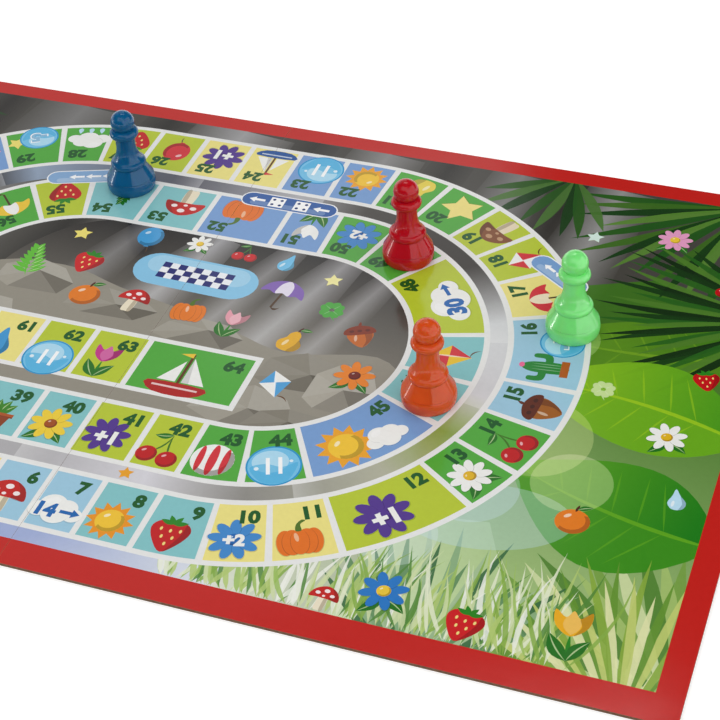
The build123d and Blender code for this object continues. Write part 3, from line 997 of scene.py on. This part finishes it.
put = plaque(starts[17] - 2.5, -9.0, 12.5, 4.2, "#7FA6D6", 20.0)
for u in (-6.5, -1.0, 4.5):
    arrow(put, u, 2.6, 0.55)
put = plaque(starts[54] + 2.0, -12.6, 15.0, 4.0, "#8CB0D8")
for u in (-8.0, -2.0, 4.0):
    arrow(put, u, 2.8, 0.55)
put = plaque(starts[51] + 2.0, -12.4, 18.0, 4.1, "#3F66A8")
for u in (-4.6, 4.6):
    put(box(u - 2.7, -2.7, u + 2.7, 2.7), white)
    for a, b in ((-1.4, -1.4), (1.4, 1.4), (-1.4, 1.4), (1.4, -1.4)):
        put(oval(u + a, b, 0.62, count=10), "#29457A")
for u in (-12.0, 12.0):
    arrow(put, u, 3.0, 0.6)
for square, along, left, text, tall, tone in (
        (12, 0.40, -2.4, "+1", 6.0, snow), (25, 0.46, -3.0, "+1", 5.4, snow),
        (41, 0.44, -2.8, "+1", 5.4, snow), (10, 0.45, -2.6, "+2", 4.4, snow),
        (50, 0.48, -2.4, "+2", 4.4, snow), (7, 0.30, -4.0, "14", 5.2, deep_blue),
        (48, 0.38, -3.2, "30", 6.2, deep_blue)):
    write(text, *on_square(square, along, left), tall, tone)
for place in ((7, 0.74, -4.0), (48, 0.62, -3.2)):
    arrow(stamp(*on_square(*place), 1.0), 0, 3.2, 0.65, deep_blue)

flag_left, flag_right, flag_front, cells, rows = -12.0, 14.0, 17.5, 9, 3
put = stamp(0, 0, -1.5, 1.0)
put(pill(flag_left - 1, flag_right + 1, 21.7, 8.4, 12), "#8EC9EA")
put(pill(flag_left - 1, flag_right + 1, 24.5, 4.6, 12), "#B6DDF2", 0.6)
wide = (flag_right - flag_left) / cells
tall = wide * 0.97
for i in range(cells):
    for j in range(rows):
        x, y = flag_left + i * wide, flag_front + j * tall
        put(box(x, y, x + wide, y + tall), "#F4F6FA" if (i + j) % 2 else "#2C3A78")
print(len(films), "films after the game marks")

# %% Numbers
number_tall, number_margin, number_ink = 5.0, 2.0, "#1F633A"
number_left = half_square - number_margin - number_tall / 2
for square in range(1, len(starts)):
    wide = figure(str(square))[1] * number_tall
    s = starts[square] - rule / 2 - number_margin - wide / 2
    write(str(square), *spot(s, number_left), tilt_at(s), number_tall, number_ink)
print(len(films), "films after the numbers")

# %% [markdown]
# Last come the loose pictures between the squares: a row of plants and toys in the hollow, flowers and
# berries on the leaves, and the worn line where the paper is creased at the fold.

# %% Loose pictures and the fold
loose = [
    (-56, 14, 12, 8.4, fern, "#6CC247"), (-46, 33, 8, 3.6, bright_star, "#F2E27A"),
    (-37, 19, -8, 6.4, strawberry, "#D2303A"), (-30, 3, 0, 6.4, fruit, "#E8832E"),
    (-22, 36, 6, 7.0, balloon, "#5AA6DC"), (-4, 38, 0, 5.0, daisy, snow, "#F0CB4A", 8),
    (13, 38, 8, 4.8, cherries, "#D02030"), (-13, 4, -6, 6.0, toadstool, "#C8342C"),
    (7, 4, 4, 6.2, gourd, "#E8813A"), (23, 1, -6, 6.8, tulip, "#E9A3B0"),
    (29, 37, -10, 4.6, drop, "#7CC6EC"), (33, 20, -8, 8.2, umbrella, "#8A6CB8", "#E9E2F2"),
    (47, 32, 14, 3.4, bright_star, "#F6EFA8"), (52, 17, 10, 5.0, clover, "#58AE4E"),
    (45, 0, -8, 6.4, pear, "#E8B23A"), (65, 8, 24, 6.4, acorn, "#C9703A", "#8A4424"),
    (70, -12, 0, 7.2, daisy, "#EE8A3A", "#7A2E14", 8), (48, -23, 20, 7.4, kite, "#5AA6DC", snow),
    (-29, -71.6, 0, 2.4, clover, "#49A04A"), (20, -71.6, 10, 2.6, bright_star, "#EFA73A"),
    (150, 84, 0, 6.4, daisy, "#E9A3C8", "#F0CB4A"), (173, 63, 0, 5.4, cherries, "#C4202B"),
    (124, 79, 0, 3.2, bright_star, "#D9EFE4"), (174, 17, 16, 5.0, strawberry, "#C8242C"),
    (145, 4, 0, 4.4, clover, "#CFE6A0"), (168, -12, 10, 6.6, daisy, snow, "#E5B93A", 8),
    (150, -52, 0, 6.0, fruit, "#E8832E"), (176, -36, 12, 4.2, drop, "#BFE3F5"),
    (93, -100.5, -4, 4.6, toadstool, "#C8342C"), (108, -94, 10, 7.6, daisy, "#3E7FC8", "#F0CB4A", 8),
    (132, -98, -8, 6.6, strawberry, "#D2303A"), (160, -94, 6, 9.0, tulip, "#F0B23A"),
    (-160, 66, 0, 8.0, daisy, "#E48AC8", "#F0CB4A"), (-156, -20, 10, 9.0, tulip, "#EE9A2A"),
    (-168, -92, 0, 7.0, fruit, "#C2301F"), (-172, 24, -6, 8.0, balloon, "#3E8ED0"),
    (-120, -100, 20, 3.0, drop, "#58B4E4"), (-158, -58, 0, 4.4, cherries, "#D02030"),
]
for x, y, tilt, size, picture, *tones in loose:
    picture(stamp(x, y, tilt, size), *tones)
worn, bare = 0.42, "#E8E2DA"
for side in (worn, -worn):
    crease = box(math.copysign(seam, side), -panel_size.y, side, panel_size.y)
    lay(crease, bare, 0.12, bare, 0.0, (0, 0), (side, 0))
print(len(films), "films in all")

# %% [markdown]
# ## From films to a printed sheet
#
# The triangulation returns, for every triangle, which films lie over it. Mixing their inks from the bottom
# up gives the colour at each corner, kept in a colour attribute. Where two points all but meet, a film can
# leak into its surroundings. It then covers more than its own area, and is put right by testing the middle
# of each triangle. The rim is then extruded down by the paper's thickness and closed underneath, once for
# each half of the board.

# %% Cut the films into one flat sheet
corners, loops = [], []
for film in films:
    loops.append(list(range(len(corners), len(corners) + len(film[0]))))
    corners += [Vector(p) for p in film[0]]
only_inside, weld = 1, 1e-4  # the kind of result, and how near two points are one, in millimetres
points, _, triangles, _, _, stacks = delaunay_2d_cdt(corners, [], loops, only_inside, weld, True)
print(len(films), "films,", len(corners), "corners,", len(triangles), "triangles")


def inside(outline, p):
    hits = 0
    for a, b in zip(outline, outline[1:] + outline[:1]):
        if (a[1] > p[1]) != (b[1] > p[1]) and p[0] < a[0] + (p[1] - a[1]) / (b[1] - a[1]) * (b[0] - a[0]):
            hits += 1
    return hits % 2 == 1


leak_share, leak_area = 1.03, 0.05
covered = [0.0] * len(films)
for triangle, stack in zip(triangles, stacks):
    size = area_of([points[i] for i in triangle])
    for k in stack:
        covered[k] += size
leaks = [k for k, film in enumerate(films) if covered[k] > leak_share * area_of(film[0]) + leak_area]
middles = [sum((points[i] for i in triangle), Vector((0, 0))) / 3 for triangle in triangles]
for k in leaks:
    stacks = [[i for i in stack if i != k] + ([k] if inside(films[k][0], middle) else [])
              for stack, middle in zip(stacks, middles)]
print(len(leaks), "leaks put right")

# %% Mixing the inks
veil = 0.03  # the gloss over the print lifts all colours by about this much, so the inks are mixed darker
least_share = 0.3  # of a colour, which stays however dark it is


def printed(stack, x, y):
    colour = [1.0, 1.0, 1.0]
    for k in stack:
        _, tone, opacity, (far, far_opacity, px, py, gx, gy) = films[k]
        if far:
            t = min(max((x - px) * gx + (y - py) * gy, 0.0), 1.0)
            tone = [a + (b - a) * t for a, b in zip(tone, far)]
            opacity += (far_opacity - opacity) * t
        colour = [c + (t - c) * opacity for c, t in zip(colour, tone)]
    return [max(c - veil, least_share * c) for c in linear(colour)[:3]] + [1.0]


print("bare paper prints as", [round(c, 3) for c in printed((), 0, 0)[:3]])

# %% [markdown]
# The finish is offset ink under a clear gloss laminate. Ink on coated paper is never quite even, so a faint
# mottle about 1.5 mm wide varies it, and the laminate has a slight orange peel that bends reflections.

# %% Print material
laminate, tree, shader, place = new_material("gloss_laminated_offset_print")
ink_layer = node(tree, "Attribute", attribute_name="ink")
mottle = node(tree, "TexNoise", {"Vector": place, "Scale": 1 / (1.5 * MM), "Detail": 6.0,
                                 "Roughness": 0.65})
evenness = node(tree, "MapRange", {"Value": mottle, "From Min": 0.3, "From Max": 0.7,
                                   "To Min": 0.975, "To Max": 1.025})
inked = node(tree, "VectorMath", {0: ink_layer, 1: evenness}, operation="MULTIPLY")
# Orange peel, 7 mm from swell to swell
peel = node(tree, "TexNoise", {"Vector": place, "Scale": 1 / (7 * MM), "Detail": 2.0, "Roughness": 0.4})
ripple = node(tree, "Bump", {"Height": peel, "Strength": 0.35, "Distance": 0.06 * MM})
sheen = node(tree, "MapRange", {"Value": mottle, "To Min": 0.10, "To Max": 0.17})
wire(shader, {"Base Color": inked, "Roughness": sheen, "IOR": 1.5, "Normal": ripple})

# %% Printed sheets
paper_edge = colour_of("#7A4F3E")
map_share, map_margin = 0.98, 0.01
# The cut edge and the back have one colour and share a corner of the map: its place and its size
patch_u, patch_v, patch_wide, patch_tall = 0.90, 0.1, 0.08, 0.3
for index, side in enumerate(("right", "left")):
    low, high = (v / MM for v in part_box("face_" + side))
    size = high - low
    bm = bmesh.new()
    ink_of = bm.loops.layers.float_color.new("ink")
    flat_map = bm.loops.layers.uv.new("OFBake")
    verts, mixed = {}, {}
    for triangle, stack in zip(triangles, stacks):
        if index not in stack:
            continue
        over = tuple(sorted(stack))
        for i in triangle:
            if i not in verts:
                verts[i] = bm.verts.new((points[i].x, points[i].y, high.z))
        face = bm.faces.new([verts[i] for i in triangle])
        for i, loop in zip(triangle, face.loops):
            if (i, over) not in mixed:
                mixed[i, over] = printed(over, *points[i])
            loop[ink_of] = mixed[i, over]
            loop[flat_map].uv = (points[i] - low.xy) / size.y * map_share + Vector((map_margin, map_margin))
    top = len(bm.faces)
    rim = bmesh.ops.extrude_edge_only(bm, edges=[e for e in bm.edges if e.is_boundary])["geom"]
    bmesh.ops.translate(bm, verts=[g for g in rim if isinstance(g, bmesh.types.BMVert)],
                        vec=(0, 0, -size.z))
    bmesh.ops.edgeloop_fill(bm, edges=[e for e in bm.edges if e.is_boundary])
    bm.faces.ensure_lookup_table()
    for face in bm.faces[top:]:
        for loop in face.loops:
            share = loop.vert.co - low
            loop[ink_of] = paper_edge
            loop[flat_map].uv = (patch_u + patch_wide * share.x / size.x,
                                 patch_v + patch_tall * share.y / size.y)
    bmesh.ops.recalc_face_normals(bm, faces=bm.faces)
    to_metres(bm)
    print("face_" + side, top, "printed triangles")
    print_sheet = add_piece("print_" + side, bm, laminate)
    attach(print_sheet, side + "_half")
    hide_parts("face_" + side)

# %% [markdown]
# ## Pawns
#
# The pawns are injection-moulded polystyrene: one turned outline, hollow underneath. The outline is drawn
# as arcs with the same sizes as the CAD part and spun about the axis. A spin gives clean rings, so gloss
# runs smoothly round the body, and only real corners such as the groove are marked sharp.

# %% The pawn's outline
def arc_from(start, end, tangent, count):
    """Start, and points on the arc that leaves it along the tangent and ends at end."""
    chord = Vector(end) - Vector(start)
    t = Vector(tangent).normalized()
    n = Vector((-t.y, t.x))
    radius, angle = chord.length_squared / (2 * chord.dot(n)), 2 * math.atan2(chord.dot(n), chord.dot(t))
    return [start] + [tuple(Vector(start) + radius * (math.sin(a) * t + (1 - math.cos(a)) * n))
                      for a in (angle * (k + 1) / count for k in range(count))]


def ellipse_from(x, z, rx, rz, first, last, count):
    rim = (ray(first + (last - first) * k / count) for k in range(count + 1))
    return [(x + rx * u, z + rz * v) for u, v in rim]


foot_level, groove_low, groove_level, groove_high = 2.6, 4.5, 4.8, 5.1
waist_level, stem_level, neck_level, collar_level, seat_level, crown = 9.4, 11.7, 17.6, 22.6, 24.3, 30.963
foot_radius, foot_inset, shoulder_radius, groove_radius = 8.7, 0.8, 8.35, 8.1
waist_radius, stem_radius, neck_radius, collar_radius, head_radius = 5.8, 5.3, 3.45, 5.05, 4.2
bead_slope = (0.937, -0.35)
underside = [(6.6, 0.0), (3.8, 7.9), (0.0, 7.9)]
head_level, collar_half = crown - head_radius, seat_level - collar_level
seat_angle = math.degrees(math.asin((seat_level - head_level) / head_radius))

outline = ellipse_from(0, head_level, head_radius, head_radius, 90, seat_angle, 24)
seat_radius = outline[-1][0]
outline += ellipse_from(seat_radius, collar_level, collar_radius - seat_radius, collar_half, 90, 0, 8)[1:]
outline += ellipse_from(neck_radius, collar_level, collar_radius - neck_radius, collar_half, 0, -90, 8)[1:]
outline += arc_from((neck_radius, neck_level), (stem_radius, stem_level), (0, -1), 12)
outline += arc_from((stem_radius, stem_level), (waist_radius, waist_level), bead_slope, 12)[1:]
outline += [(shoulder_radius, groove_high), (groove_radius, groove_level)]
outline += arc_from((foot_radius, foot_level), (shoulder_radius, groove_low), (0, 1), 4)[::-1]
outline += ellipse_from(foot_radius - foot_inset, foot_level, foot_inset, foot_level, 0, -90, 8)[1:]
outline += underside
print("pawn outline:", len(outline), "points,", crown, "mm tall")

# %% [markdown]
# Polystyrene is slightly translucent: light enters a little way and comes out again tinted, which
# subsurface scattering gives. A polished mould leaves a mirror-like skin, with handling marks so fine that
# only the roughness shows them.

# %% Pawns
def polystyrene(name, code, gloss):
    material, tree, shader, place = new_material(name)
    # Flow marks of the melt, 5 mm wide, hardly darker than the rest
    flow = node(tree, "TexNoise", {"Vector": place, "Scale": 1 / (5 * MM), "Detail": 3.0, "Roughness": 0.5})
    melt = node(tree, "ValToRGB", {"Fac": flow}, stops=((0.3, colour_of(code, 0.95)), (0.7, code)))
    # Handling marks, real size under 0.1 mm, drawn at 0.6 mm so that they show
    marks = node(tree, "TexNoise", {"Vector": place, "Scale": 1 / (0.6 * MM), "Detail": 2.0})
    polish = node(tree, "MapRange", {"Value": marks, "To Min": 0.10, "To Max": 0.14})
    wire(shader, {"Base Color": melt, "Roughness": polish, "IOR": 1.59, "Specular IOR Level": gloss,
                  "Subsurface Weight": 0.5, "Subsurface Radius": colour_of(code)[:3],
                  "Subsurface Scale": 2.0 * MM})
    return material


pawn_looks = {"blue": ("#065C8C", 0.4), "red": ("#C00A1C", 0.4), "orange": ("#DA531C", 0.4),
              "green": ("#84F187", 0.8)}
sharp_from, sectors = math.radians(35), 96
for colour, (code, gloss) in pawn_looks.items():
    low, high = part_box("pawn_" + colour)
    bm = bmesh.new()
    verts = [bm.verts.new((r, 0, z)) for r, z in outline]
    edges = [bm.edges.new(pair) for pair in zip(verts, verts[1:])]
    bmesh.ops.spin(bm, geom=verts + edges, axis=(0, 0, 1), cent=(0, 0, 0), angle=math.tau, steps=sectors,
                   use_merge=True)
    bmesh.ops.remove_doubles(bm, verts=bm.verts, dist=weld)
    bmesh.ops.recalc_face_normals(bm, faces=bm.faces)
    for edge in bm.edges:
        edge.smooth = edge.calc_face_angle(0.0) < sharp_from
    for face in bm.faces:
        face.smooth = True
    to_metres(bm)
    bmesh.ops.translate(bm, verts=bm.verts, vec=((low.x + high.x) / 2, (low.y + high.y) / 2, low.z))
    pawn = add_piece("pawn_body_" + colour, bm, polystyrene("moulded_polystyrene_" + colour, code, gloss))
    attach(pawn, colour + "_pawn")
    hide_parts("pawn_" + colour)
    print(pawn.name, len(pawn.data.polygons), "faces")

# %% [markdown]
# ## Dice
#
# The dice are ivory urea resin, tumbled smooth, with drilled pips. Their CAD solids are right as they are
# and only get the resin. The paint in each pip is a shallow black cone with a dished top, one piece for
# each die, placed with the die's own turn.

# %% Resin and pip paint
resin, tree, shader, place = new_material("tumbled_urea_resin")
# Clouds in the pressed powder, 6 mm wide
powder = node(tree, "TexNoise", {"Vector": place, "Scale": 1 / (6 * MM), "Detail": 3.0})
ivory = node(tree, "ValToRGB", {"Fac": powder}, stops=((0.3, "#EDE8DA"), (0.7, "#F4F0E6")))
# Scuffs of the tumbling, drawn at 0.8 mm so that they show
tumble = node(tree, "TexNoise", {"Vector": place, "Scale": 1 / (0.8 * MM), "Detail": 2.0})
dull = node(tree, "MapRange", {"Value": tumble, "To Min": 0.22, "To Max": 0.38})
wire(shader, {"Base Color": ivory, "Roughness": dull, "Subsurface Weight": 0.2,
              "Subsurface Scale": 1.0 * MM})

pip_paint, tree, shader, place = new_material("pip_enamel")
# Brushed on thick and thin, in patches 0.7 mm wide
brush = node(tree, "TexNoise", {"Vector": place, "Scale": 1 / (0.7 * MM), "Detail": 2.0})
enamel = node(tree, "ValToRGB", {"Fac": brush}, stops=((0.0, "#141416"), (1.0, "#232326")))
wire(shader, {"Base Color": enamel, "Roughness": 0.35})
print("dice:", resin.name, "and", pip_paint.name)

# %% Dice and pips
one, two = [(0, 0)], [(-1, -1), (1, 1)]
four = two + [(-1, 1), (1, -1)]
die_faces = [((0, 0, 1), (1, 0, 0), one + four), ((0, 0, -1), (1, 0, 0), two),
             ((1, 0, 0), (0, 1, 0), four + [(0, -1), (0, 1)]), ((-1, 0, 0), (0, 1, 0), one),
             ((0, 1, 0), (1, 0, 0), one + two), ((0, -1, 0), (1, 0, 0), four)]
half_die, pip_radius, pip_depth, pip_pitch, pip_dish, paint_below = 6.0, 1.06, 0.47, 3.1, 0.22, 0.02
for name, turned in (("die_one", 24.0), ("die_two", -38.0)):
    dress(name, resin)
    low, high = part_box(name)
    bm = bmesh.new()
    for out, along, pips in die_faces:
        out, along = Vector(out), Vector(along)
        across = out.cross(along)
        upright = Matrix((along, across, out)).transposed().to_4x4()
        for u, v in pips:
            middle = out * (half_die - paint_below - pip_depth / 2) + (along * u + across * v) * pip_pitch
            cone = bmesh.ops.create_cone(bm, cap_ends=True, segments=20, radius1=0.0, radius2=pip_radius,
                                         depth=pip_depth, matrix=Matrix.Translation(middle) @ upright)
            lid = [f for f in {f for v in cone["verts"] for f in v.link_faces} if len(f.verts) > 4]
            dish = bmesh.ops.poke(bm, faces=lid)
            bmesh.ops.translate(bm, verts=dish["verts"], vec=out * -pip_dish)
    bmesh.ops.remove_doubles(bm, verts=bm.verts, dist=weld)
    bmesh.ops.recalc_face_normals(bm, faces=bm.faces)
    about_z = Matrix.Rotation(math.radians(turned), 3, "Z")
    bmesh.ops.rotate(bm, verts=bm.verts, cent=(0, 0, 0), matrix=about_z)
    to_metres(bm)
    bmesh.ops.translate(bm, verts=bm.verts, vec=(low + high) / 2)
    paint = add_piece("pip_paint_" + name, bm, pip_paint)
    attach(paint, name)
    print(paint.name, len(paint.data.polygons), "faces")
